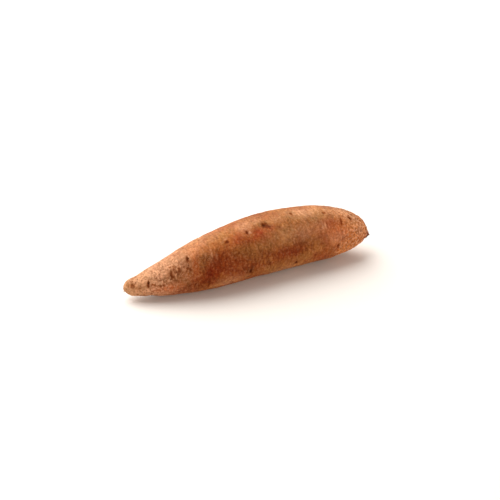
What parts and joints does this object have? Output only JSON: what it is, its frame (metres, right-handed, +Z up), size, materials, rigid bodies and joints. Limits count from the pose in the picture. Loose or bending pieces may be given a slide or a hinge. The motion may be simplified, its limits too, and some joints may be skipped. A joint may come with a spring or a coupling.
{
  "type": "sweet potato",
  "caption": "Whole raw sweet potato with copper-orange skin: a long, slightly bent root that tapers to a blunt tail and ends in a cut stem stub, lying on its belly.",
  "frame": {"origin": "centre of the bounding box's underside, at the height of the flat spot that the root rests on", "axes": "+X along the root from its tail to its crown, where the stem was cut; +Y to the side that the root bows towards; +Z up as it lies on its belly"},
  "size_m": [0.23, 0.0586, 0.0533],
  "materials": {
    "skin": "dry copper-orange root skin, matt with a faint satin, with fine cross wrinkles, small dark eyes and olive-brown patches"
  },
  "bodies": {
    "root": {"sweet_potato": "skin"}
  },
  "joints": []
}
